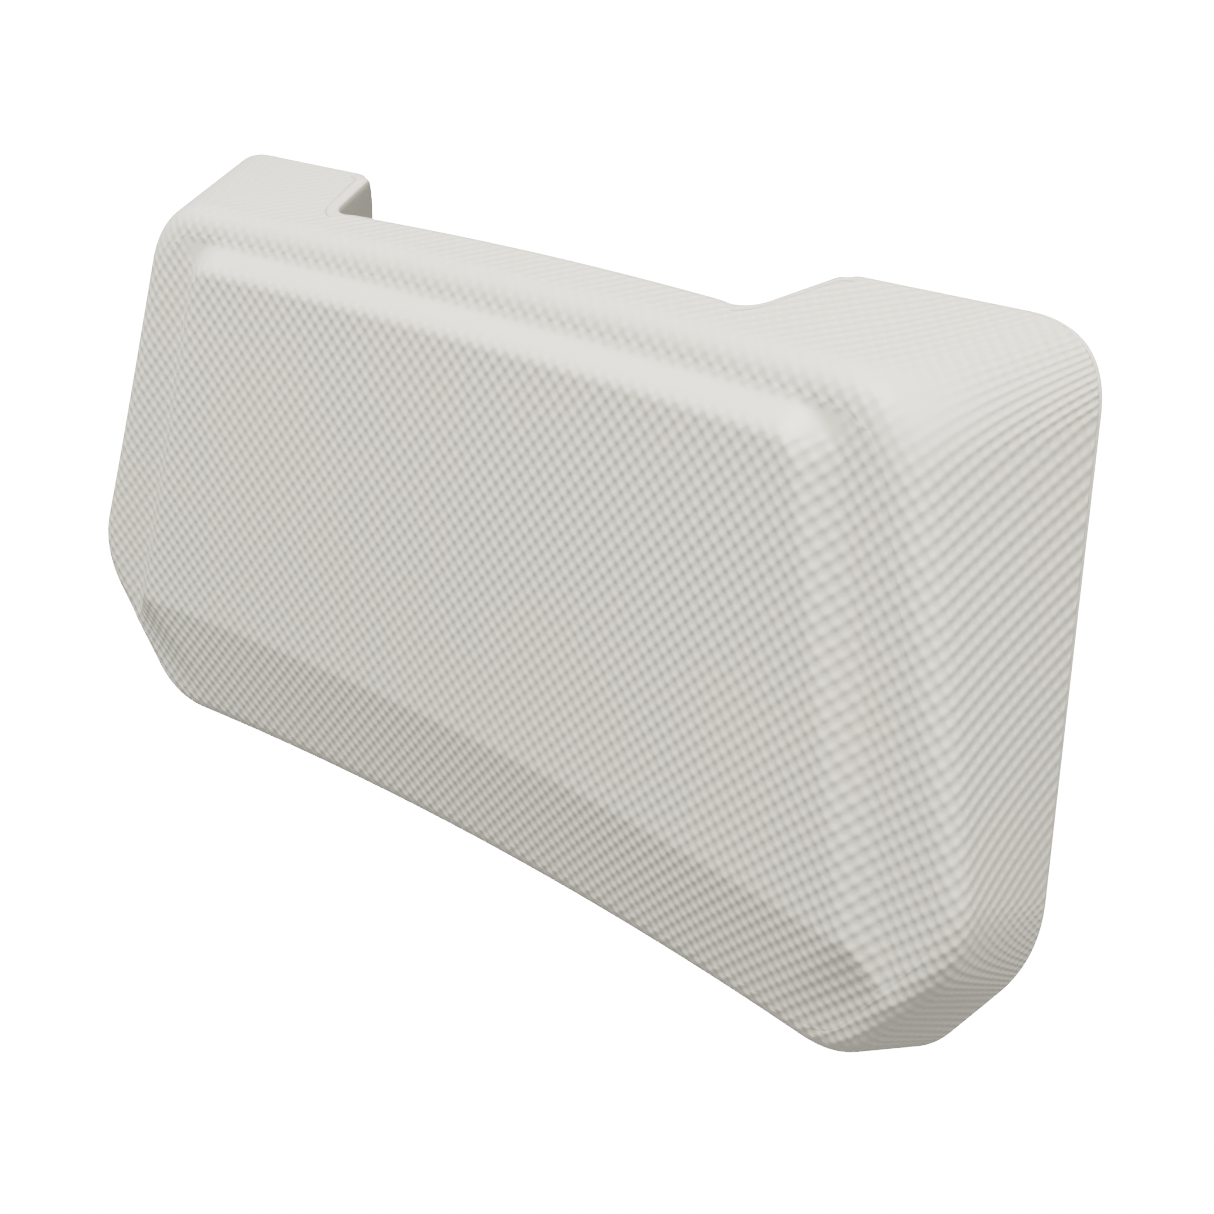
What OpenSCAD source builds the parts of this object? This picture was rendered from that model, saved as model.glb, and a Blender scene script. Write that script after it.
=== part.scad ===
// Moulded headrest pad for the wall of a pool or spa seat.
// The wall is the plane y = 0 and the front faces -Y, with +Z up.
// The origin is the centre of the peg pattern on the wall. The washers and collars hold
// the flat back off the wall by their thickness, and all else is drawn from that back.
// Depths are measured from the back plane and drops from the top back edge.

/* [Back outline] */
// Width across the two top corners of the back
back_top_w = 365; // [320:1:440]
// Width across the two lower side corners of the back, the widest place
back_side_w = 407; // [370:1:490]
// Width across the two bottom corners of the back
back_bottom_w = 350; // [310:1:430]
// Drop from the top edge to the lower side corners
back_side_drop = 180; // [165:1:200]
// Whole height of the back
back_h = 230; // [210:1:270]

/* [Front outline] */
// How much narrower the front is than the back at the top corners
top_draft_w = 58; // [30:1:70]
// How much narrower the front is than the back at the side corners
side_draft_w = 7; // [6:1:24]
// How much narrower the front is than the back at the bottom corners
bottom_draft_w = 24; // [10:1:40]
// Drop of the front's top edge below the back's top edge
top_draft_drop = 19; // [12:0.5:32]
// Rise of the front's side corners above the back's
side_rise = 16; // [6:1:24]
// Rise of the front's bottom edge above the back's
bottom_rise = 8; // [3:1:14]

/* [Depths] */
// Depth of the front at the middle of the top
front_depth = 46; // [44:0.5:64]
// Depth lost between the top and the bottom of the front
front_taper = 24; // [10:0.5:30]
// How far the ends of the front stand forward of its middle
front_hollow = 16.5; // [0:0.5:20]
// Height of the raised panel above the border round it
panel_rise = 8.5; // [4:0.5:12]

/* [Raised panel] */
// Width of the panel's foot at its top
panel_top_w = 270; // [230:1:280]
// Width of the panel's foot at its crease
panel_low_w = 352; // [290:1:356]
// Drop of the panel's foot at its top
panel_top_drop = 26; // [24:1:40]
// Drop of the crease below which the panel slopes back
crease_drop = 175; // [160:1:190]
// How much wider the panel's bevel is beside the lower chamfers
chamfer_spread = 2.5; // [1:0.5:4]
// Radius of the panel's upper corners at its foot
panel_round = 18; // [10:1:30]
// Width of the bevel round the panel, seen from the front
bevel_w = 13.5; // [6:0.5:16]

/* [Rounding] */
// Rounding between the front and the top face
top_round = 8.5; // [6:0.5:20]
// Rounding between the front and the end faces
end_round = 9; // [8:1:17]
// Rounding between the front and the bottom face
bottom_round = 8; // [4:0.5:12]
// Tangent length of the outline's top corners
top_corner = 23.5; // [22:0.5:36]
// Tangent length of the outline's side corners
side_corner = 18.5; // [16:0.5:28]
// Tangent length of the outline's bottom corners
bottom_corner = 16; // [14:1:24]

/* [Notch] */
// Width of the notch at the back plane
notch_w = 202; // [150:1:220]
// Width of the notch at its inner corners
notch_inner_w = 177; // [130:1:200]
// Depth of the notch at its inner corners
notch_depth = 30; // [20:1:34]
// Depth that the notch loses at its middle
notch_bow = 5; // [0:0.5:9]
// Drop at which the sloping notch runs out at the back
notch_h = 100; // [70:1:110]
// Rounding of the notch's inner corners
notch_round = 6; // [3:0.5:10]

/* [Backing plate] */
// Thickness of the plate set flush into the back
plate_t = 5; // [3:0.5:8]
// Border of foam left round the plate
plate_margin = 14; // [12:1:22]
// Gap round the plate's edge
plate_gap = 0.3; // [0.2:0.1:0.8]

/* [Pegs] */
// Spacing of the pegs across the back
peg_spacing_x = 280; // [250:1:290]
// Spacing of the pegs up the back
peg_spacing_z = 130; // [110:1:140]
// Drop of the upper pegs below the top edge
peg_top_drop = 40; // [36:1:50]
// Radius of a peg's shank
peg_r = 4.5; // [3:0.1:6]
// Length of the shank's plain part
peg_len = 14; // [8:0.5:30]
// Length of the lead-in taper on the peg's tip
peg_tip = 3; // [1:0.5:5]
// Radius of the collar that seats on the washer
collar_r = 9; // [7:0.5:12]
// Thickness of the collar
collar_t = 2; // [1:0.5:4]
// Radius of the threaded stud that holds a peg
stud_r = 2.9; // [2:0.1:4]
// Thickness of the rubber washer
washer_t = 1.5; // [1:0.5:3]
// Clearance round the stud in the washer
washer_gap = 0.2; // [0.1:0.05:0.5]

/* [Inserts] */
// Radius of the insert's barrel
barrel_r = 6; // [5:0.1:8]
// Radius of the insert's flange, buried in the foam
flange_r = 10; // [9:0.5:14]
// Thickness of the insert's flange
flange_t = 1.6; // [1:0.1:3]
// Clearance round the insert and round the stud in it
insert_gap = 0.1; // [0.05:0.05:0.3]
// Length of the stud beyond the insert's flange
stud_over = 3; // [1:0.5:6]

/* [Hidden] */
$fn = 64;

// Height of the top back edge above the centre of the peg pattern
top_z = peg_top_drop + peg_spacing_z / 2;
// Gap between the wall and the flat back
wall_gap = washer_t + collar_t;

// Grid of the body's skin: cells across, cells down, rings in the walls and rounding
cells_x = 72;
cells_z = 56;
rings = 8;
wall_rings = 3;

// Corners as [x, drop], clockwise from the top left, with a tangent length each
function outline(tw, sw, bw, td, sd, bd) =
    [[-tw / 2, td], [tw / 2, td], [sw / 2, sd], [bw / 2, bd], [-bw / 2, bd], [-sw / 2, sd]];
tangents = [top_corner, top_corner, side_corner, bottom_corner, bottom_corner, side_corner];
back = outline(back_top_w, back_side_w, back_bottom_w, 0, back_side_drop, back_h);
front = outline(back_top_w - top_draft_w, back_side_w - side_draft_w, back_bottom_w - bottom_draft_w,
    top_draft_drop, back_side_drop - side_rise, back_h - bottom_rise);

function unit(v) = v / norm(v);
function mix(a, b, t) = a + (b - a) * t;
function clamp01(t) = max(0, min(1, t));
function ease(t) = let (c = clamp01(t)) c * c * (3 - 2 * c);
function bend(a, b, c, t) = (1 - t) * (1 - t) * a + 2 * t * (1 - t) * b + t * t * c;

// A point on the rounded corner k of an outline, t from 0 to 1
function corner(v, k, t) =
    let (here = v[k], before = unit(v[(k + 5) % 6] - here), after = unit(v[(k + 1) % 6] - here))
    bend(here + before * tangents[k], here, here + after * tangents[k], t);
function between(v, k, t) = mix(corner(v, k, 1), corner(v, (k + 1) % 6, 0), t);

// Shares of a side's run that its roundings and straights take
top_share = 0.1;
side_shares = [0.1, 0.58, 0.72, 0.9];

// Sides: 0 is the top from left to right, 1 the right from the top down,
// 2 the bottom from left to right and 3 the left from the top down
function top_point(v, f) =
    f < top_share ? corner(v, 0, 0.5 + 0.5 * f / top_share)
    : f > 1 - top_share ? corner(v, 1, 0.5 - 0.5 * (1 - f) / top_share)
    : between(v, 0, (f - top_share) / (1 - 2 * top_share));
function bottom_point(v, f) =
    f < top_share ? corner(v, 4, 0.5 - 0.5 * f / top_share)
    : f > 1 - top_share ? corner(v, 3, 0.5 + 0.5 * (1 - f) / top_share)
    : between(v, 3, 1 - (f - top_share) / (1 - 2 * top_share));
function right_point(v, f) =
    let (s = side_shares)
    f < s[0] ? corner(v, 1, 0.5 + 0.5 * f / s[0])
    : f < s[1] ? between(v, 1, (f - s[0]) / (s[1] - s[0]))
    : f < s[2] ? corner(v, 2, (f - s[1]) / (s[2] - s[1]))
    : f < s[3] ? between(v, 2, (f - s[2]) / (s[3] - s[2]))
    : corner(v, 3, 0.5 * (f - s[3]) / (1 - s[3]));
function side_point(v, side, f) =
    side == 0 ? top_point(v, f)
    : side == 1 ? right_point(v, f)
    : side == 2 ? bottom_point(v, f)
    : let (p = right_point(v, f)) [-p[0], p[1]];

// A side's point, or past its ends the neighbouring side's
function run_point(v, side, f) =
    f < 0 ? side_point(v, side % 2 == 0 ? 3 : 0, side % 3 == 0 ? -f : 1 + f)
    : f > 1 ? side_point(v, side % 2 == 0 ? 1 : 2, side % 3 == 0 ? f - 1 : 2 - f)
    : side_point(v, side, f);

// Unit vector across an outline, towards its middle
function inward(v, side, f) =
    let (e = 0.004, d = unit(run_point(v, side, f + e) - run_point(v, side, f - e)))
    side < 2 ? [-d[1], d[0]] : [d[1], -d[0]];

// Width of the rounding at a place, blended along each side
function round_at(side, f) =
    side == 0 ? mix(end_round, top_round, ease(4 * min(f, 1 - f)))
    : side == 2 ? bottom_round
    : mix(end_round, bottom_round, ease((f - 0.5) / 0.4));

// Depth of the border, then of the raised panel on it
function border_depth(x, drop) =
    front_depth - front_taper * drop / back_h + front_hollow * pow(2 * x / back_top_w, 2);
function panel_half(drop) =
    mix(panel_top_w, panel_low_w, (drop - panel_top_drop) / (crease_drop - panel_top_drop)) / 2;
function chamfer_half(drop) =
    mix(front[2][0], front[3][0], (drop - front[2][1]) / (front[3][1] - front[2][1]));
function panel_share(x, drop) =
    let (a = min(panel_half(drop) - abs(x), (chamfer_half(drop) - abs(x)) / chamfer_spread), b = drop - panel_top_drop, r = panel_round)
    ease((max(a, b) > r ? min(a, b) : r - norm([r - a, r - b])) / bevel_w);
function panel_fade(drop) =
    let (low = back_h - bottom_rise - bottom_round / 2)
    drop < crease_drop ? 1 : clamp01((low - drop) / (low - crease_drop));
function front_y(p) = -border_depth(p[0], p[1]) - panel_rise * panel_share(p[0], p[1]) * panel_fade(p[1]);
function skin_point(p) = [p[0], front_y(p), top_z - p[1]];
function back_point(p) = [p[0], 0, top_z - p[1]];

// Ring k of the skin, from the back edge (0) over the rounding to the front (rings)
function ring_point(side, f, k) =
    let (outer = side_point(front, side, f), c = round_at(side, f))
    let (corner_at = skin_point(outer), foot = back_point(side_point(back, side, f)))
    let (inner = skin_point(outer + inward(front, side, f) * c))
    let (wall_top = corner_at + unit(foot - corner_at) * min(c, norm(foot - corner_at) * 0.6))
    k <= wall_rings ? mix(foot, wall_top, k / wall_rings)
    : bend(wall_top, corner_at, inner, (k - wall_rings) / (rings - wall_rings));

// Inside the last ring the front is a four-sided patch between its edges
function edge_plan(side, f) = let (p = ring_point(side, f, rings)) [p[0], top_z - p[2]];
function patch_plan(u, v) =
    mix(edge_plan(0, u), edge_plan(2, u), v) + mix(edge_plan(3, v), edge_plan(1, v), u)
    - mix(mix(edge_plan(0, 0), edge_plan(0, 1), u), mix(edge_plan(2, 0), edge_plan(2, 1), u), v);

function grid_point(i, j) =
    let (k = min(i, cells_x - i, j, cells_z - j))
    let (u = (i - min(k, rings)) / (cells_x - 2 * min(k, rings)))
    let (v = (j - min(k, rings)) / (cells_z - 2 * min(k, rings)))
    k >= rings ? skin_point(patch_plan(u, v))
    : j == k ? ring_point(0, u, k)
    : cells_z - j == k ? ring_point(2, u, k)
    : i == k ? ring_point(3, v, k) : ring_point(1, v, k);

// Points of the back outline, in order round it
function rim_index(n) =
    n < cells_x ? n
    : n < cells_x + cells_z ? (n - cells_x) * (cells_x + 1) + cells_x
    : n < 2 * cells_x + cells_z ? cells_z * (cells_x + 1) + 2 * cells_x + cells_z - n
    : (2 * cells_x + 2 * cells_z - n) * (cells_x + 1);

module body_form() {
    points = concat([for (j = [0 : cells_z]) for (i = [0 : cells_x]) grid_point(i, j)], [[0, 0, 0]]);
    row = cells_x + 1;
    hub = len(points) - 1;
    skin = [for (j = [0 : cells_z - 1]) for (i = [0 : cells_x - 1])
        let (a = j * row + i)
        for (t = [[a, a + row + 1, a + 1], [a, a + row, a + row + 1]]) t];
    count = 2 * (cells_x + cells_z);
    flat_back = [for (n = [0 : count - 1]) [rim_index(n), rim_index((n + 1) % count), hub]];
    polyhedron(points = points, faces = concat(skin, flat_back), convexity = 4);
}

// Plan of the notch: straight flared sides, rounded corners and a bowed end
notch_lean = atan(notch_depth / notch_h);
function notch_end(x) = -notch_depth + notch_bow * (1 - pow(2 * x / notch_inner_w, 2));
notch_over = 20;
function notch_half(y) = notch_w / 2 + (notch_w - notch_inner_w) / 2 * y / notch_depth;
function notch_right() =
    let (c = [notch_inner_w / 2, -notch_depth])
    let (up = unit([notch_w / 2, 0] - c), back_in = unit([-notch_inner_w / 2, 0]))
    concat([[notch_half(notch_over), notch_over]],
        [for (t = [0 : 0.2 : 1]) bend(c + up * notch_round, c, c + back_in * notch_round, t)]);
module notch_cut() {
    half = notch_inner_w / 2 - notch_round - 4;
    right = notch_right();
    left = [for (n = [len(right) - 1 : -1 : 0]) [-right[n][0], right[n][1]]];
    end = [for (n = [0 : 12]) let (x = half - n * half / 6) [x, notch_end(x)]];
    translate([0, 0, top_z])
        rotate([notch_lean, 0, 0])
            translate([0, 0, -notch_h * 1.6])
                linear_extrude(height = notch_h * 1.6 + 40)
                    polygon(concat(right, end, left));
}

// The plate's outline follows the back and steps round the notch
function plate_edge(grow) =
    let (n = 24, d = plate_margin - grow)
    concat([for (i = [0 : n]) side_point(back, 0, i / n) + inward(back, 0, i / n) * d],
        [for (i = [1 : n]) side_point(back, 1, i / n) + inward(back, 1, i / n) * d],
        [for (i = [n - 1 : -1 : 0]) side_point(back, 2, i / n) + inward(back, 2, i / n) * d],
        [for (i = [n - 1 : -1 : 1]) side_point(back, 3, i / n) + inward(back, 3, i / n) * d]);
module plate_plan(grow) {
    notch_side = notch_w / 2 + plate_margin - grow;
    notch_low = notch_h + plate_margin - grow;
    difference() {
        polygon([for (p = plate_edge(grow)) [p[0], top_z - p[1]]]);
        translate([-notch_side, top_z - notch_low])
            square([2 * notch_side, notch_low + 10]);
    }
}
// A plan in x and z, given a depth from the back plane into the pad
module into_pad(depth) {
    rotate([90, 0, 0]) linear_extrude(height = depth) children();
}
// A turned piece on a peg's axis, its profile drawn as [radius, y]
module on_peg(side, row) {
    translate([side * peg_spacing_x / 2, 0, row * peg_spacing_z / 2])
        rotate([-90, 0, 0])
            rotate_extrude() children();
}
// A step [inner radius, outer radius, start, length] along the peg's axis
module step(r_in, r_out, start, length) {
    translate([r_in, start]) square([r_out - r_in, length]);
}

flange_y = -plate_t - flange_t;
stud_y = flange_y - stud_over;
// Every piece stands off the wall by a washer and a peg collar
module off_wall() {
    translate([0, -wall_gap, 0]) children();
}
module moulded_body() {
    color("ivory")
        off_wall() difference() {
            body_form();
            notch_cut();
            into_pad(plate_t) plate_plan(plate_gap);
            for (side = [-1, 1], row = [-1, 1])
                on_peg(side, row) {
                    step(0, flange_r + insert_gap, flange_y, flange_t + 1);
                    step(0, barrel_r + insert_gap, -plate_t, plate_t + 1);
                    step(0, stud_r + 1, stud_y - 1, 2 + stud_over);
                }
        }
}
module backing_plate() {
    color("dimgray")
        off_wall() difference() {
            into_pad(plate_t) plate_plan(0);
            for (side = [-1, 1], row = [-1, 1])
                on_peg(side, row)
                    step(0, barrel_r + insert_gap, -plate_t - 1, plate_t + 2);
        }
}
module insert(side, row) {
    color("goldenrod")
        off_wall() on_peg(side, row) {
            step(stud_r + insert_gap, flange_r, flange_y, flange_t);
            step(stud_r + insert_gap, barrel_r, -plate_t, plate_t);
        }
}
module washer(side, row) {
    color("black")
        off_wall() on_peg(side, row)
            step(stud_r + washer_gap, collar_r, 0, washer_t);
}
module peg(side, row) {
    color("whitesmoke")
        off_wall() on_peg(side, row) {
            step(0, stud_r, stud_y, washer_t - stud_y);
            step(0, collar_r, washer_t, collar_t);
            step(0, peg_r, wall_gap, peg_len);
            polygon([[0, wall_gap + peg_len], [peg_r, wall_gap + peg_len],
                [peg_r - peg_tip / 2, wall_gap + peg_len + peg_tip], [0, wall_gap + peg_len + peg_tip]]);
        }
}

moulded_body();
backing_plate();
insert(-1, 1);  // upper_left_insert
insert(1, 1);  // upper_right_insert
insert(-1, -1);  // lower_left_insert
insert(1, -1);  // lower_right_insert
washer(-1, 1);  // upper_left_washer
washer(1, 1);  // upper_right_washer
washer(-1, -1);  // lower_left_washer
washer(1, -1);  // lower_right_washer
peg(-1, 1);  // upper_left_peg
peg(1, 1);  // upper_right_peg
peg(-1, -1);  // lower_left_peg
peg(1, -1);  // lower_right_peg
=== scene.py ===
import math
import bmesh
import bpy
from mathutils import Matrix, Vector


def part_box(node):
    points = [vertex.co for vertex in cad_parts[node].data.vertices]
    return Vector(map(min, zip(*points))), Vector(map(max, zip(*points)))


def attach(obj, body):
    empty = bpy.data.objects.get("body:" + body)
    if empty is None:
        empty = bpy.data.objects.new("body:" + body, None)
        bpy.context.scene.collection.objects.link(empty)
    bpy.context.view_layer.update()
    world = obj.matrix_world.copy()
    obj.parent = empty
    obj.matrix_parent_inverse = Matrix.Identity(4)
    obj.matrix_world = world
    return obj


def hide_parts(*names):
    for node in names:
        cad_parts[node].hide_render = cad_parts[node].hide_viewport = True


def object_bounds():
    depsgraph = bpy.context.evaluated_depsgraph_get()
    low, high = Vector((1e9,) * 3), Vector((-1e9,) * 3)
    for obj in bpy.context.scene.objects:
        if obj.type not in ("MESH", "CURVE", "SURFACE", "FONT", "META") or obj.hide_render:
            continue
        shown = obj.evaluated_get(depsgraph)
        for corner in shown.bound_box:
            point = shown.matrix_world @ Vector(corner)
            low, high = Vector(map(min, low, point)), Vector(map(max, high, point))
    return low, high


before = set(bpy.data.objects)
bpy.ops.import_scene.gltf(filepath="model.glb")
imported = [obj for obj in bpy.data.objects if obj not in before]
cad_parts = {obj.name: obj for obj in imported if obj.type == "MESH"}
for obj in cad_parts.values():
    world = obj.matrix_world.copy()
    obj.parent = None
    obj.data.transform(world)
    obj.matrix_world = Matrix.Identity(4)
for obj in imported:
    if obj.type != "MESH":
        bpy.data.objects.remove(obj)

cadBox = [list(corner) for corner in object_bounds()]
print("frame loaded:", len(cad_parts), "nodes")
mm = 0.001


# ---- shader maths: one wrapped socket, and one way to make a node
class Wire:
    def __init__(self, tree, socket):
        self.tree, self.socket = tree, socket

    def maths(self, operation, *values):
        return makeNode(self.tree, "ShaderNodeMath", dict(operation=operation), dict(enumerate(values)))

    def __add__(self, other): return self.maths("ADD", self, other)
    def __radd__(self, other): return self.maths("ADD", other, self)
    def __sub__(self, other): return self.maths("SUBTRACT", self, other)
    def __rsub__(self, other): return self.maths("SUBTRACT", other, self)
    def __mul__(self, other): return self.maths("MULTIPLY", self, other)
    def __rmul__(self, other): return self.maths("MULTIPLY", other, self)
    def cosine(self): return self.maths("COSINE", self)
    def absolute(self): return self.maths("ABSOLUTE", self)
    def power(self, exponent): return self.maths("POWER", self, exponent)

    def spread(self, low, high):
        return makeNode(self.tree, "ShaderNodeMapRange", dict(interpolation_type="SMOOTHSTEP"),
                        {0: self, 1: low, 2: high, 3: 0.0, 4: 1.0})


def makeNode(tree, kind, settings=None, inputs=None, output=0):
    node = tree.nodes.new(kind)
    for name, value in (settings or {}).items():
        setattr(node, name, value)
    for name, value in (inputs or {}).items():
        if isinstance(value, Wire):
            tree.links.new(value.socket, node.inputs[name])
        else:
            node.inputs[name].default_value = value
    return Wire(tree, node.outputs[output]) if node.outputs else node


def startMaterial(name):
    material = bpy.data.materials.new(name)
    material.use_nodes = True
    material.node_tree.nodes.clear()
    return material, material.node_tree


def finishMaterial(tree, shader):
    makeNode(tree, "ShaderNodeOutputMaterial", None, {"Surface": shader})


def noiseOn(tree, where, scale, detail=4.0, rough=0.55):
    return makeNode(tree, "ShaderNodeTexNoise", None,
                    {"Vector": where, "Scale": scale, "Detail": detail, "Roughness": rough})


def colourBetween(tree, share, first, second):
    return makeNode(tree, "ShaderNodeMix", dict(data_type="RGBA"), {0: share, 6: first, 7: second}, 2)


# ---- the padded body, in millimetres; a drop is measured down from the top back edge
padShape = dict(
    backWidths=(365, 407, 350), backDrops=(0, 180, 230),
    frontWidths=(307, 400, 326), frontDrops=(19, 164, 222),
    cornerTangents=(23.5, 18.5, 16), depth=46, taper=24, hollow=16.5,
    panelRise=8.5, panelWidths=(270, 352), panelDrops=(26, 175),
    bevel=13.5, panelRound=18, chamferSpread=2.5,
    topRound=8.5, endRound=9, bottomRound=8, backRound=2.5, rimRound=3.0)
notchShape = dict(width=202, innerWidth=177, depth=30, bow=5, height=100, innerRound=6, outerRound=5,
                  bowMargin=4, fullWall=9, turnShare=0.4)
plateShape = dict(margin=14, gap=0.3, thick=5)
# columns from the middle of the top to its corner, rows down an end, rings from back to front
# the last line also counts the rings under the notch's rim that are left out of the notch walls' painted
# shade
padMesh = dict(bowColumns=60, wallColumns=24, armColumns=48, endRows=150,
               backRings=4, wallRings=8, rimRings=6, faceRings=22, roundRings=12,
               armShare=0.86, jointRows=3, jointPasses=6, unshadedRimRings=3, finePoints=600)
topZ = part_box("moulded_body")[1][2] / mm
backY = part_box("moulded_body")[1][1] / mm     # the flat back, a little off the wall


def mix(a, b, t): return a + (b - a) * t
def bend(a, b, c, t): return a * ((1 - t) ** 2) + b * (2 * t * (1 - t)) + c * (t * t)


def ease(t):
    t = max(0.0, min(1.0, t))
    return t * t * (3 - 2 * t)


def outlineOf(widths, drops):
    (topW, sideW, lowW), (topD, sideD, lowD) = widths, drops
    return [Vector(p) for p in ((-topW / 2, topD), (topW / 2, topD), (sideW / 2, sideD),
                                (lowW / 2, lowD), (-lowW / 2, lowD), (-sideW / 2, sideD))]


backLine = outlineOf(padShape["backWidths"], padShape["backDrops"])
frontLine = outlineOf(padShape["frontWidths"], padShape["frontDrops"])
tangents = [padShape["cornerTangents"][k] for k in (0, 0, 1, 2, 2, 1)]
topShare = 0.1                  # the part of a level side that each corner takes
halfStraight = 0.5 - topShare
sideShares = (0.1, 0.58, 0.72, 0.9)


def cornerPoint(line, k, t):
    here = line[k]
    before = (line[(k + 5) % 6] - here).normalized() * tangents[k]
    after = (line[(k + 1) % 6] - here).normalized() * tangents[k]
    return bend(here + before, here, here + after, t)


def between(line, k, t):
    return mix(cornerPoint(line, k, 1), cornerPoint(line, (k + 1) % 6, 0), t)


# sides: 0 top from left to right, 1 right end down, 2 bottom from left to right, 3 left end down
def sidePoint(line, side, f):
    if side == 0:
        if f < topShare: return cornerPoint(line, 0, 0.5 + 0.5 * f / topShare)
        if f > 1 - topShare: return cornerPoint(line, 1, 0.5 - 0.5 * (1 - f) / topShare)
        return between(line, 0, (f - topShare) / (1 - 2 * topShare))
    if side == 2:
        if f < topShare: return cornerPoint(line, 4, 0.5 - 0.5 * f / topShare)
        if f > 1 - topShare: return cornerPoint(line, 3, 0.5 + 0.5 * (1 - f) / topShare)
        return between(line, 3, 1 - (f - topShare) / (1 - 2 * topShare))
    s = sideShares                  # the turns down an end: corner, end, side corner, chamfer, corner
    if f < s[0]: p = cornerPoint(line, 1, 0.5 + 0.5 * f / s[0])
    elif f < s[1]: p = between(line, 1, (f - s[0]) / (s[1] - s[0]))
    elif f < s[2]: p = cornerPoint(line, 2, (f - s[1]) / (s[2] - s[1]))
    elif f < s[3]: p = between(line, 2, (f - s[2]) / (s[3] - s[2]))
    else: p = cornerPoint(line, 3, 0.5 * (f - s[3]) / (1 - s[3]))
    return Vector((-p.x, p.y)) if side == 3 else p


def roundAt(side, f):
    top, end, low = padShape["topRound"], padShape["endRound"], padShape["bottomRound"]
    if side == 0: return mix(end, top, ease(4 * min(f, 1 - f)))
    if side == 2: return low
    return mix(end, low, ease((f - 0.5) / 0.4))


def borderDepth(x, drop):
    return (padShape["depth"] - padShape["taper"] * drop / padShape["backDrops"][2]
            + padShape["hollow"] * (2 * x / padShape["backWidths"][0]) ** 2)


def panelShare(x, drop):
    (topW, lowW), (topD, lowD) = padShape["panelWidths"], padShape["panelDrops"]
    half = mix(topW, lowW, (drop - topD) / (lowD - topD)) / 2
    chamfer = mix(frontLine[2], frontLine[3], (drop - frontLine[2].y) / (frontLine[3].y - frontLine[2].y))
    sideIn = min(half - abs(x), (chamfer.x - abs(x)) / padShape["chamferSpread"])
    topIn, turn = drop - topD, padShape["panelRound"]
    inCorner = turn - math.hypot(turn - sideIn, turn - topIn)
    inside = min(sideIn, topIn) if max(sideIn, topIn) > turn else inCorner
    share = ease(inside / padShape["bevel"])
    low = padShape["frontDrops"][2] - padShape["bottomRound"] / 2
    fade = 1 if drop < lowD else max(0, min(1, (low - drop) / (low - lowD)))
    return share * fade


def skinPoint(p):
    y = -borderDepth(p.x, p.y) - padShape["panelRise"] * panelShare(p.x, p.y)
    return Vector((p.x, y, topZ - p.y))


def backPoint(p): return Vector((p.x, 0, topZ - p.y))


# the notch's edge in plan, from the middle of its end to the back edge of the right arm
lean = math.atan(notchShape["depth"] / notchShape["height"])


def notchPlan():
    n = notchShape
    halfIn, halfOut, deep = n["innerWidth"] / 2, n["width"] / 2, n["depth"]
    inner, outer = Vector((halfIn, -deep)), Vector((halfOut, 0))
    wallWay = (inner - outer).normalized()
    bowEnd = halfIn - n["innerRound"] - n["bowMargin"]
    bowLine = [Vector((x, -deep + n["bow"] * (1 - (x / halfIn) ** 2)))
               for x in (bowEnd * k / 24 for k in range(25))]
    innerTurn = [bend(inner + Vector((-n["innerRound"], 0)), inner, inner - wallWay * n["innerRound"], k / 12)
                 for k in range(13)]
    outerTurn = [bend(outer + wallWay * n["outerRound"], outer, outer + Vector((n["outerRound"], 0)), k / 12)
                 for k in range(13)]
    return bowLine + innerTurn[:7], innerTurn[6:] + outerTurn


def spaced(line, count):
    gaps = [(b - a).length for a, b in zip(line, line[1:])]
    found, k, gone = [], 0, 0.0
    for step in range(count + 1):
        want = sum(gaps) * step / count
        while k < len(gaps) - 1 and gone + gaps[k] < want:
            gone += gaps[k]
            k += 1
        found.append(mix(line[k], line[k + 1], min(1, (want - gone) / gaps[k])))
    return found


def topFaceAt(x, y):
    slope = padShape["frontDrops"][0] / borderDepth(x, padShape["frontDrops"][0])
    return Vector((x, y, topZ + slope * y))


def notchEnds(p):
    slope = padShape["frontDrops"][0] / borderDepth(p.x, padShape["frontDrops"][0])
    c, s = math.cos(lean), math.sin(lean)
    up = p.y * (slope * c - s) / (c + slope * s)
    rim = Vector((p.x, p.y * c - up * s, topZ + p.y * s + up * c))
    low = p.y * c / s
    foot = Vector((p.x, 0, topZ + p.y * s + low * c))
    return rim, foot


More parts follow.
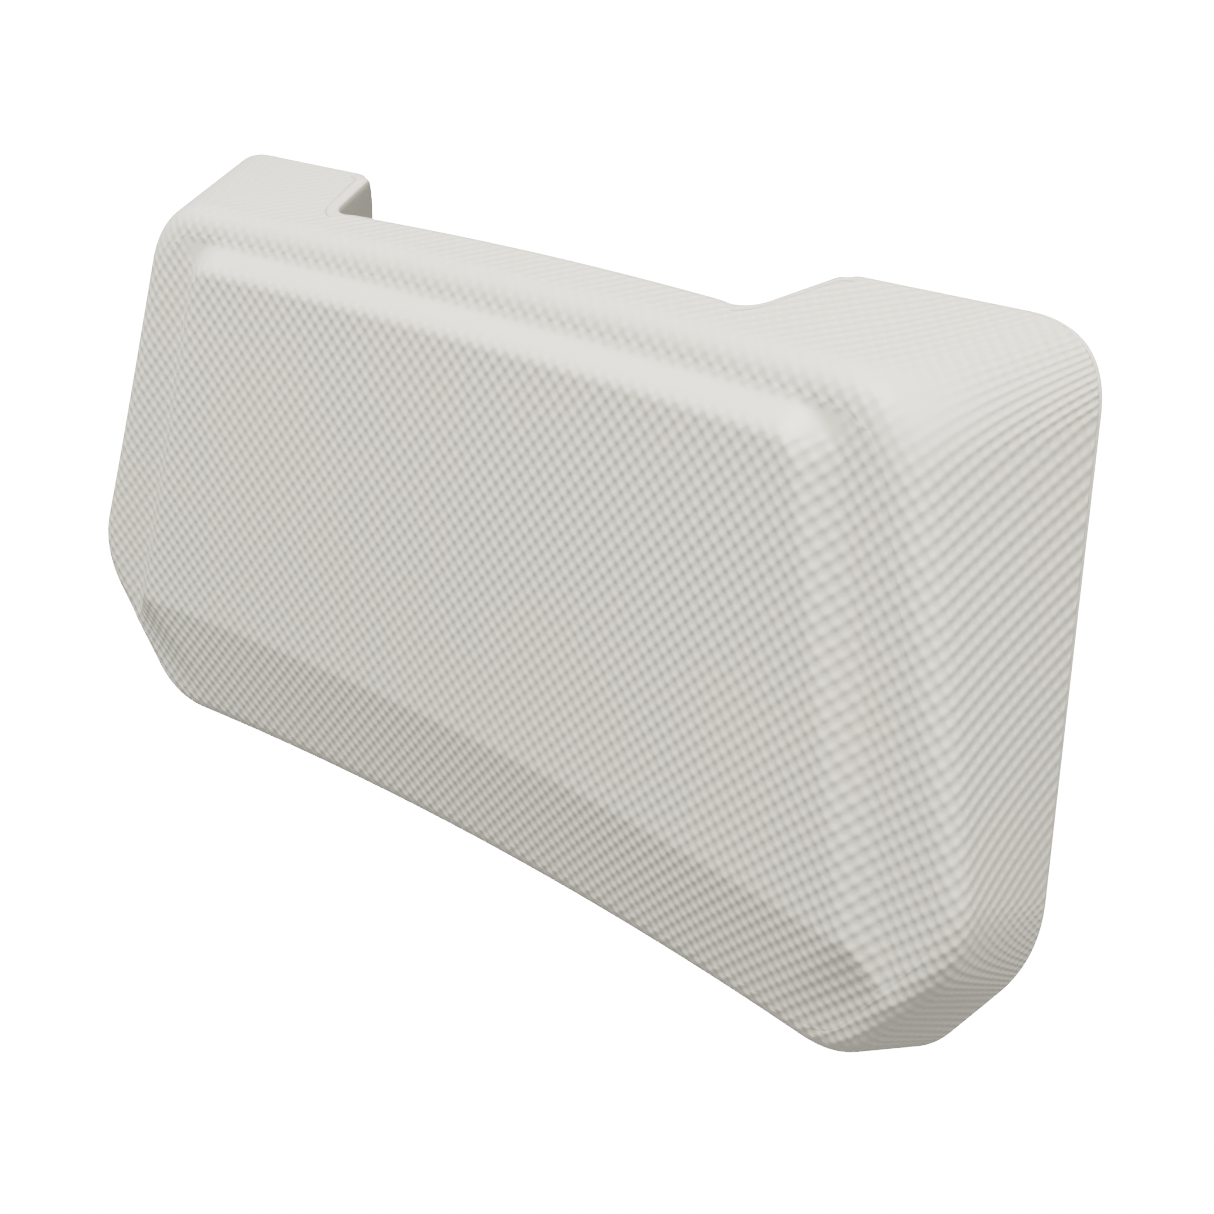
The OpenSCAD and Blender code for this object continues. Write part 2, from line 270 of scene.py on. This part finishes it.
# one entry for each column of the top's right half: its share along the front's edge, the rim of
# the top face, the way across that rim, the foot on the back plane and the plate's edge beside it
def topColumns():
    bowLine, wallLine = notchPlan()
    bow, wall = spaced(bowLine, padMesh["bowColumns"]), spaced(wallLine, padMesh["wallColumns"])
    plan = bow + wall[1:]
    frontHalf = padShape["frontWidths"][0] / 2 - tangents[0]
    backHalf = padShape["backWidths"][0] / 2 - tangents[0]
    bowShare = 0.5 + halfStraight * bow[-1].x / frontHalf
    armShare, armBack = padMesh["armShare"], 0.5 + halfStraight * wall[-1].x / backHalf
    inset = plateShape["margin"] - plateShape["gap"]
    side, low = notchShape["width"] / 2 + inset, notchShape["height"] + inset
    columns = []
    ends = [notchEnds(p) for p in plan]
    for k, p in enumerate(plan):
        a, b = plan[max(0, k - 1)], plan[min(len(plan) - 1, k + 1)]
        way = (b - a).normalized() if k else Vector((1, 0))
        fa, fb = ends[max(0, k - 1)][1], ends[min(len(plan) - 1, k + 1)][1]
        footWay = (fb - fa).normalized() if k else Vector((1, 0, 0))
        rim, foot = ends[k]
        if k <= len(bow) - 1:
            share = 0.5 + halfStraight * p.x / frontHalf
            plate = Vector((side * p.x / bow[-1].x, low))
        else:
            t = (k - len(bow) + 1) / padMesh["wallColumns"]
            share = mix(bowShare, armShare, t)
            plate = Vector((side, mix(inset, low, (topZ - foot.z) / (topZ - ends[len(bow) - 1][1].z))))
        columns.append(dict(share=share, rim=rim, foot=foot, plate=plate, lined=k > len(bow) - 4,
                            across=Vector((way.y, -way.x)), down=Vector((footWay.z, 0, -footWay.x))))
    plateStart = 0.5 + halfStraight * side / backHalf
    for k in range(1, padMesh["armColumns"] + 1):
        t = k / padMesh["armColumns"]
        columns.append(dict(share=mix(armShare, 1, t), backShare=mix(armBack, 1, t),
                            plateShare=mix(plateStart, 1, t)))
    return columns


def evenShares(line, side, count):
    fine = padMesh["finePoints"]
    dense = [sidePoint(line, side, k / fine) for k in range(fine + 1)]
    gone = [0.0]
    for a, b in zip(dense, dense[1:]):
        gone.append(gone[-1] + (b - a).length)
    shares, k = [], 0
    for step in range(count + 1):
        want = gone[-1] * step / count
        while k < fine - 1 and gone[k + 1] < want:
            k += 1
        shares.append((k + min(1, (want - gone[k]) / (gone[k + 1] - gone[k]))) / fine)
    return shares


def mirrorX(v):
    flipped = v.copy()
    flipped.x = -flipped.x
    return flipped


# every column round the pad, clockwise from the top left: (side, share, top entry, is it mirrored)
def padColumns():
    top = topColumns()
    half = len(top) - 1
    topRow = [(0, 1 - top[half - k]["share"], top[half - k], True) for k in range(half)]
    topRow += [(0, top[k]["share"], top[k], False) for k in range(half + 1)]
    rows = evenShares(frontLine, 1, padMesh["endRows"])
    across = [c[1] for c in topRow]
    right = [(1, f, None, False) for f in rows]
    bottom = [(2, f, None, False) for f in across]
    left = [(3, f, None, False) for f in rows]
    return topRow, right, bottom, left, across, rows


def backRim(entry, side, f, inward):
    # the way up from the flat back: plate edge, back face, foot, wall, rim and the start of the face
    inset = plateShape["margin"] - plateShape["gap"]
    if entry and "rim" in entry:
        rim, foot = entry["rim"], entry["foot"]
        wall = (rim - foot).length
        whole = ease(wall / notchShape["fullWall"])     # a low wall is one soft step
        most = wall * notchShape["turnShare"]
        wallUp = Vector((0, -math.sin(lean), math.cos(lean)))
        start = foot + entry["down"] * padShape["backRound"]
        flat = rim + Vector((entry["across"].x, entry["across"].y, 0)) * padShape["rimRound"]
        faceStart = topFaceAt(flat.x, flat.y)
        middle = bend(start, foot, faceStart, 0.5)
        lowEnd = mix(middle, foot + wallUp * min(padShape["backRound"], most), whole)
        highEnd = mix(middle, rim - wallUp * min(padShape["rimRound"], most), whole)
        lowTurn = mix((start + foot) / 2, foot, whole)
        highTurn = mix((foot + faceStart) / 2, rim, whole)
        plate = backPoint(entry["plate"])
        return plate, start, lowTurn, lowEnd, highEnd, highTurn, faceStart
    share = entry["backShare"] if entry else f
    edge = sidePoint(backLine, side, share)
    plateAt = sidePoint(backLine, side, entry["plateShare"]) if entry else edge
    foot = backPoint(edge)
    plate = backPoint(plateAt + inward * inset)
    start = backPoint(edge + inward * padShape["backRound"])
    ahead = (skinPoint(sidePoint(frontLine, side, f)) - foot).normalized()
    faceStart = foot + ahead * padShape["rimRound"]
    middle = bend(start, foot, faceStart, 0.5)
    return plate, start, (start + foot) / 2, middle, middle, (foot + faceStart) / 2, faceStart


def ringsOf(column, frontWay, backWay):
    side, f, entry, flipped = column
    if flipped:
        f, frontWay, backWay = 1 - f, mirrorX(frontWay), mirrorX(backWay)
    plate, start, lowTurn, lowEnd, highEnd, highTurn, faceStart = backRim(entry, side, f, backWay)
    outer = sidePoint(frontLine, side, f)
    turn = skinPoint(outer)
    inner = skinPoint(outer + frontWay * roundAt(side, f))
    run = faceStart - turn
    faceEnd = turn + run.normalized() * min(roundAt(side, f), run.length - 1)
    m = padMesh
    points = [plate + Vector((0, -plateShape["thick"], 0)), plate]
    points += [bend(start, lowTurn, lowEnd, k / m["backRings"]) for k in range(m["backRings"] + 1)]
    points += [mix(lowEnd, highEnd, k / m["wallRings"]) for k in range(1, m["wallRings"] + 1)]
    points += [bend(highEnd, highTurn, faceStart, k / m["rimRings"]) for k in range(1, m["rimRings"] + 1)]
    rimRing = len(points) - 1
    points += [mix(faceStart, faceEnd, k / m["faceRings"]) for k in range(1, m["faceRings"] + 1)]
    points += [bend(faceEnd, turn, inner, k / m["roundRings"]) for k in range(1, m["roundRings"] + 1)]
    if flipped:
        points = [mirrorX(p) for p in points]
    return points, rimRing


def unitAcross(points, k):
    a, b = points[k - 1], points[(k + 1) % len(points)]
    d = (b - a).normalized()
    return Vector((-d.y, d.x))


farFromRim = 20                 # a gap to the notch's rim that is past its witness line


def makePad():
    topRow, right, bottom, left, across, rows = padColumns()
    loop = topRow[:-1] + right[:-1] + bottom[:0:-1] + left[:0:-1]
    frontPlan = [sidePoint(frontLine, c[0], c[1]) for c in loop]
    backPlan = [sidePoint(backLine, c[0], c[1]) for c in loop]
    columns, plans, ways, rimRing = [], [], [], 0
    for n, column in enumerate(loop):
        frontWay, backWay = unitAcross(frontPlan, n), unitAcross(backPlan, n)
        points, rimRing = ringsOf(column, frontWay, backWay)
        columns.append(points)
        ways.append(frontWay)
    ringCount, loopCount = len(columns[0]) - 1, len(loop)
    print("pad columns", loopCount, "rings", ringCount)

    # sheet coordinates: the skin unrolled from the front over the edges
    sheets = []
    for n, points in enumerate(columns):
        out = -ways[n]
        along = Vector((-out.y, out.x))
        along3 = Vector((along.x, 0, -along.y))
        at = Vector((points[-1].x, topZ - points[-1].z))
        sheet = [at.copy()]
        for k in range(ringCount - 1, -1, -1):
            step = points[k] - points[k + 1]
            side = step.dot(along3)
            at = at + along * side + out * math.sqrt(max(0, step.length_squared - side * side))
            sheet.append(at.copy())
        sheets.append(sheet[::-1])
    bm = bmesh.new()
    sheetLayer = bm.verts.layers.float_vector.new("sheetAt")
    plainLayer = bm.verts.layers.float.new("plain")
    notchShadeLayer = bm.verts.layers.float.new("notchShade")

    joint = []
    strip = bmesh.ops.create_grid(bm, x_segments=loopCount, y_segments=ringCount, size=1)["verts"]
    for v in strip:
        n, k = round((v.co.x + 1) / 2 * loopCount) % loopCount, round((v.co.y + 1) / 2 * ringCount)
        p, s = columns[n][k], sheets[n][k]
        column = loop[n]
        v.co = p * mm
        if k > ringCount - padMesh["jointRows"]:
            joint.append(v)
        rimGap = (p - columns[n][rimRing]).length if column[2] and column[2].get("lined") else farFromRim
        v[sheetLayer] = (s.x, s.y, rimGap if k >= rimRing else -farFromRim)
        inNotch = column[2] and "rim" in column[2]
        # painted shade mask: 1 on the notch's inner walls below the rim, where they lie in shade
        v[notchShadeLayer] = 1.0 if inNotch and k < rimRing - padMesh["unshadedRimRings"] else 0.0
        v[plainLayer] = 1.0 if k < rimRing else plainAt(p)
    # the front inside the last ring, a four-sided patch between its edges
    width, height = len(across) - 1, len(rows) - 1
    inner = [Vector((c[-1].x, topZ - c[-1].z)) for c in columns]
    edgeTop = inner[:width + 1]
    edgeRight = inner[width:width + height + 1]
    edgeBottom = inner[width + height:2 * width + height + 1][::-1]
    edgeLeft = (inner[2 * width + height:] + inner[:1])[::-1]
    patch = bmesh.ops.create_grid(bm, x_segments=width, y_segments=height, size=1)["verts"]
    for v in patch:
        i, j = round((v.co.x + 1) / 2 * width), round((1 - v.co.y) / 2 * height)
        u, w = across[i], rows[j]
        plan = (mix(edgeTop[i], edgeBottom[i], w) + mix(edgeLeft[j], edgeRight[j], u)
                - mix(mix(edgeTop[0], edgeTop[-1], u), mix(edgeBottom[0], edgeBottom[-1], u), w))
        p = skinPoint(plan)
        v.co = p * mm
        if min(i, width - i, j, height - j) < padMesh["jointRows"]:
            joint.append(v)
        v[sheetLayer] = (plan.x, plan.y, farFromRim)
        v[plainLayer] = plainAt(p)
    bmesh.ops.translate(bm, verts=bm.verts, vec=(0, backY * mm, 0))
    bmesh.ops.remove_doubles(bm, verts=bm.verts, dist=2e-6)
    joint = [v for v in joint if v.is_valid]
    for turn in range(padMesh["jointPasses"]):
        bmesh.ops.smooth_vert(bm, verts=joint, factor=0.5, use_axis_x=True, use_axis_y=True, use_axis_z=True)
    openEdges = [e for e in bm.edges if e.is_boundary]
    bmesh.ops.triangle_fill(bm, use_beauty=True, edges=openEdges)
    bmesh.ops.dissolve_degenerate(bm, edges=bm.edges, dist=1e-7)
    bmesh.ops.recalc_face_normals(bm, faces=bm.faces)
    for edge in bm.edges:
        edge.smooth = not (len(edge.link_faces) == 2 and edge.calc_face_angle(0) > math.radians(50))
    for face in bm.faces:
        face.smooth = True
    print("pad faces", len(bm.faces), "open edges", sum(not e.is_manifold for e in bm.edges))
    mesh = bpy.data.meshes.new("pad_body")
    bm.to_mesh(mesh)
    bm.free()
    pad = bpy.data.objects.new("pad_body", mesh)
    bpy.context.collection.objects.link(pad)
    return pad


# where the weave is washed out, in millimetres: along the top ridge, along the panel's top bevel,
# at the top corners and over the left arm
washedOut = dict(
    ridge=dict(most=0.8, drop=20, half=6.5, end=160, endFade=10, front=-38),
    bevel=dict(most=0.95, start=27.5, startFade=3, stop=39, stopFade=4, end=144, endFade=10, front=-40),
    corner=dict(most=0.85, x=156, y=-50, squash=0.6, drop=24, reach=20),
    arm=dict(most=0.55, start=60, startFade=40, drop=20, dropFade=6))


def plainAt(p):
    # 0 is full weave and 1 is smooth skin
    drop, x = topZ - p.z, p.x
    r, b, c, a = (washedOut[name] for name in ("ridge", "bevel", "corner", "arm"))
    ridge = r["most"] * ease(1 - abs(drop - r["drop"]) / r["half"])
    ridge *= ease((r["end"] - abs(x)) / r["endFade"]) * (p.y < r["front"])
    bevel = b["most"] * ease((drop - b["start"]) / b["startFade"]) * ease((b["stop"] - drop) / b["stopFade"])
    bevel *= ease((b["end"] - abs(x)) / b["endFade"]) * (p.y < b["front"])
    fromCorner = Vector((abs(x) - c["x"], (p.y - c["y"]) * c["squash"], drop - c["drop"]))
    corner = c["most"] * ease(1 - fromCorner.length / c["reach"])
    arm = a["most"] * ease((-x - a["start"]) / a["startFade"]) * ease((a["drop"] - drop) / a["dropFade"])
    return max(ridge, bevel, corner, arm)


skinLook = dict(
    acrossPitch=2.6, downPitch=2.83, crown=1.35, depth=0.00056,
    warmTone=(0.81, 0.775, 0.625), coolTone=(0.79, 0.785, 0.655),
    # the valley tone is painted shade: darker colour standing in for the shade that falls in the weave's
    # valleys
    valleyShadeTone=(0.60, 0.575, 0.46), valleyShadeShare=0.40,
    # the notch-wall tone is painted shade: dark colour standing in for the shadow on the notch's inner walls
    lineGap=2.6, lineTone=(0.42, 0.41, 0.35), notchShadeTone=(0.19, 0.18, 0.14), notchShadeShare=0.75)


def skinMaterial():
    material, tree = startMaterial("ivory_foam_skin")
    sheet = makeNode(tree, "ShaderNodeAttribute", dict(attribute_name="sheetAt"), None, 1)
    parts = makeNode(tree, "ShaderNodeSeparateXYZ", None, {0: sheet}).socket.node
    across, down, rimGap = (Wire(tree, parts.outputs[k]) for k in range(3))
    plain = makeNode(tree, "ShaderNodeAttribute", dict(attribute_name="plain"), None, 2)
    # mask of the notch walls' painted shade
    notchShade = makeNode(tree, "ShaderNodeAttribute", dict(attribute_name="notchShade"), None, 2)
    objectAt = makeNode(tree, "ShaderNodeTexCoord", None, None, 3)

    # the embossed weave: raised lozenges in staggered rows
    look = skinLook
    rows = (down * (math.pi / look["downPitch"])).cosine()
    lozenge = (across * (math.pi / look["acrossPitch"])).cosine() * rows
    weave = (lozenge * 0.5 + 0.5).power(look["crown"]) * (1 - plain)
    cloudy = noiseOn(tree, objectAt, 14.0, 3.0)
    grain = noiseOn(tree, objectAt, 1900.0, 3.0, 0.6)
    pores = noiseOn(tree, objectAt, 420.0, 2.0, 0.5)
    partLine = 1 - (rimGap - look["lineGap"]).absolute().spread(0.1, 0.45)
    height = weave * (0.75 + cloudy * 0.5) + grain * 0.05 + pores * 0.05 - partLine * 0.7
    bump = makeNode(tree, "ShaderNodeBump", None,
                    {"Strength": 1.0, "Distance": look["depth"], "Height": height})

    tone = colourBetween(tree, cloudy.spread(0.35, 0.65), (*look["warmTone"], 1), (*look["coolTone"], 1))
    # painted shade: the weave's valleys are darkened in the colour where shade falls between the lozenges,
    # less where the skin is plain
    valleyShade = (1 - weave) * (1 - plain) * look["valleyShadeShare"]
    tone = colourBetween(tree, valleyShade, tone, (*look["valleyShadeTone"], 1))
    tone = colourBetween(tree, partLine * 0.5, tone, (*look["lineTone"], 1))
    # painted shade: the notch's inner walls are darkened in the colour, standing in for the shade they lie in
    tone = colourBetween(tree, notchShade * look["notchShadeShare"], tone, (*look["notchShadeTone"], 1))
    rough = 0.40 + grain * 0.10 + (1 - plain) * 0.06
    shader = makeNode(tree, "ShaderNodeBsdfPrincipled", None,
                      {"Base Color": tone, "Roughness": rough, "Normal": bump, "IOR": 1.48,
                       "Subsurface Weight": 0.06, "Subsurface Radius": (1.0, 0.9, 0.7),
                       "Subsurface Scale": 0.004, "Coat Weight": 0.06, "Coat Roughness": 0.3})
    finishMaterial(tree, shader)
    return material


def mouldedMaterial(name, dark, light, rough, grainScale, grainDepth):
    material, tree = startMaterial(name)
    objectAt = makeNode(tree, "ShaderNodeTexCoord", None, None, 3)
    cloudy = noiseOn(tree, objectAt, 22.0, 3.0)
    grain = noiseOn(tree, objectAt, grainScale, 3.0, 0.6)
    tone = colourBetween(tree, cloudy.spread(0.3, 0.7), (*dark, 1), (*light, 1))
    bump = makeNode(tree, "ShaderNodeBump", None, {"Strength": 0.8, "Distance": grainDepth, "Height": grain})
    shader = makeNode(tree, "ShaderNodeBsdfPrincipled", None,
                      {"Base Color": tone, "Roughness": rough + grain * 0.15, "Normal": bump})
    finishMaterial(tree, shader)
    return material


def brassMaterial():
    material, tree = startMaterial("turned_brass")
    objectAt = makeNode(tree, "ShaderNodeTexCoord", None, None, 3)
    cloudy = noiseOn(tree, objectAt, 160.0, 4.0)
    turned = noiseOn(tree, objectAt, 2600.0, 2.0, 0.5)
    tone = colourBetween(tree, cloudy.spread(0.35, 0.7), (0.62, 0.44, 0.17, 1), (0.80, 0.62, 0.30, 1))
    bump = makeNode(tree, "ShaderNodeBump", None, {"Strength": 0.5, "Distance": 0.00003, "Height": turned})
    shader = makeNode(tree, "ShaderNodeBsdfPrincipled", None,
                      {"Base Color": tone, "Metallic": 1.0, "Roughness": 0.26 + cloudy * 0.2, "Normal": bump})
    finishMaterial(tree, shader)
    return material


pad = makePad()
pad.data.materials.append(skinMaterial())
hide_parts("moulded_body")
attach(pad, "root")
print("pad made")

hardware = dict(
    plate=mouldedMaterial("grey_plate", (0.045, 0.047, 0.05), (0.06, 0.062, 0.066), 0.5, 900, 0.00012),
    insert=brassMaterial(),
    washer=mouldedMaterial("black_washer", (0.012, 0.012, 0.013), (0.022, 0.022, 0.023), 0.62, 1500, 0.00006),
    peg=mouldedMaterial("natural_nylon", (0.60, 0.585, 0.53), (0.66, 0.645, 0.59), 0.36, 700, 0.00003))
for name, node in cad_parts.items():
    if name != "moulded_body":
        kind = name.split("_")[-1]
        node.data.materials.clear()
        node.data.materials.append(hardware[kind])
print("hardware finished")

# ---- stage, lights and camera
# the floor and the room shine evenly where they are seen, and light the pad softly
stage = dict(floorDrop=0.42, floorHalf=6.0, floorTone=0.30, worldLight=0.55, backdrop=30.0)
low = cadBox[0][2]
floorMesh = bmesh.new()
bmesh.ops.create_grid(floorMesh, x_segments=1, y_segments=1, size=stage["floorHalf"],
                      matrix=Matrix.Translation((0, 0, low - stage["floorDrop"])))
floorData = bpy.data.meshes.new("studio_floor")
floorMesh.to_mesh(floorData)
floorMesh.free()
floor = bpy.data.objects.new("studio_floor", floorData)
bpy.context.collection.objects.link(floor)
floorMaterial, floorTree = startMaterial("pale_floor")
paleFloor = makeNode(floorTree, "ShaderNodeBsdfPrincipled", None,
                     {"Base Color": (*[stage["floorTone"]] * 3, 1), "Roughness": 0.9,
                      "Specular IOR Level": 0.1})
litFloor = makeNode(floorTree, "ShaderNodeEmission", None,
                    {"Color": (1, 1, 1, 1), "Strength": stage["backdrop"]})
seen = makeNode(floorTree, "ShaderNodeLightPath")
floorMix = makeNode(floorTree, "ShaderNodeMixShader", None, {0: seen, 1: paleFloor, 2: litFloor})
finishMaterial(floorTree, floorMix)
floorData.materials.append(floorMaterial)

world = bpy.data.worlds.new("studio")
bpy.context.scene.world = world
world.use_nodes = True
worldTree = world.node_tree
worldTree.nodes.clear()
roomLight = makeNode(worldTree, "ShaderNodeBackground", None, {0: (1, 1, 1, 1), 1: stage["worldLight"]})
backdrop = makeNode(worldTree, "ShaderNodeBackground", None, {0: (1, 1, 1, 1), 1: stage["backdrop"]})
seen = makeNode(worldTree, "ShaderNodeLightPath")
lit = makeNode(worldTree, "ShaderNodeMixShader", None, {0: seen, 1: roomLight, 2: backdrop})
makeNode(worldTree, "ShaderNodeOutputWorld", None, {"Surface": lit})


def areaLight(name, place, target, size, power):
    data = bpy.data.lights.new(name, "AREA")
    data.shape, data.size, data.size_y, data.energy = "RECTANGLE", size[0], size[1], power
    light = bpy.data.objects.new(name, data)
    light.location = place
    way = Vector(target) - Vector(place)
    light.rotation_euler = way.to_track_quat("-Z", "Y").to_euler()
    bpy.context.collection.objects.link(light)


# each lamp's place, what it points at, its size and its power
lamps = dict(
    key_soft=((0.04, -0.66, 0.95), (0, -0.03, 0), (0.26, 0.34), 29),
    left_soft=((-0.75, -0.42, 0.85), (0, -0.03, 0), (0.6, 0.4), 2.5),
    end_soft=((0.80, -0.10, 0.72), (0.19, -0.03, 0), (0.4, 0.4), 8))
for name, (place, target, size, power) in lamps.items():
    areaLight(name, place, target, size, power)
print("lights placed")

# the camera's frame: right, up and back unit vectors
camera = dict(place=(0.329272, -0.393271, 0.150963), right=(0.764049, 0.633751, 0.120786),
              up=(-0.299588, 0.182713, 0.936409), back=(0.571381, -0.751649, 0.329467), lens=45.34)
camData = bpy.data.cameras.new("camera")
camData.lens, camData.sensor_width = camera["lens"], 36
camData.clip_start, camData.clip_end = 0.02, 40
camObject = bpy.data.objects.new("camera", camData)
turn = Matrix((camera["right"], camera["up"], camera["back"])).transposed()
camPlace = Vector(camera["place"]) + Vector((0, backY * mm, 0))
camObject.matrix_world = Matrix.Translation(camPlace) @ turn.to_4x4()
bpy.context.collection.objects.link(camObject)
bpy.context.scene.camera = camObject
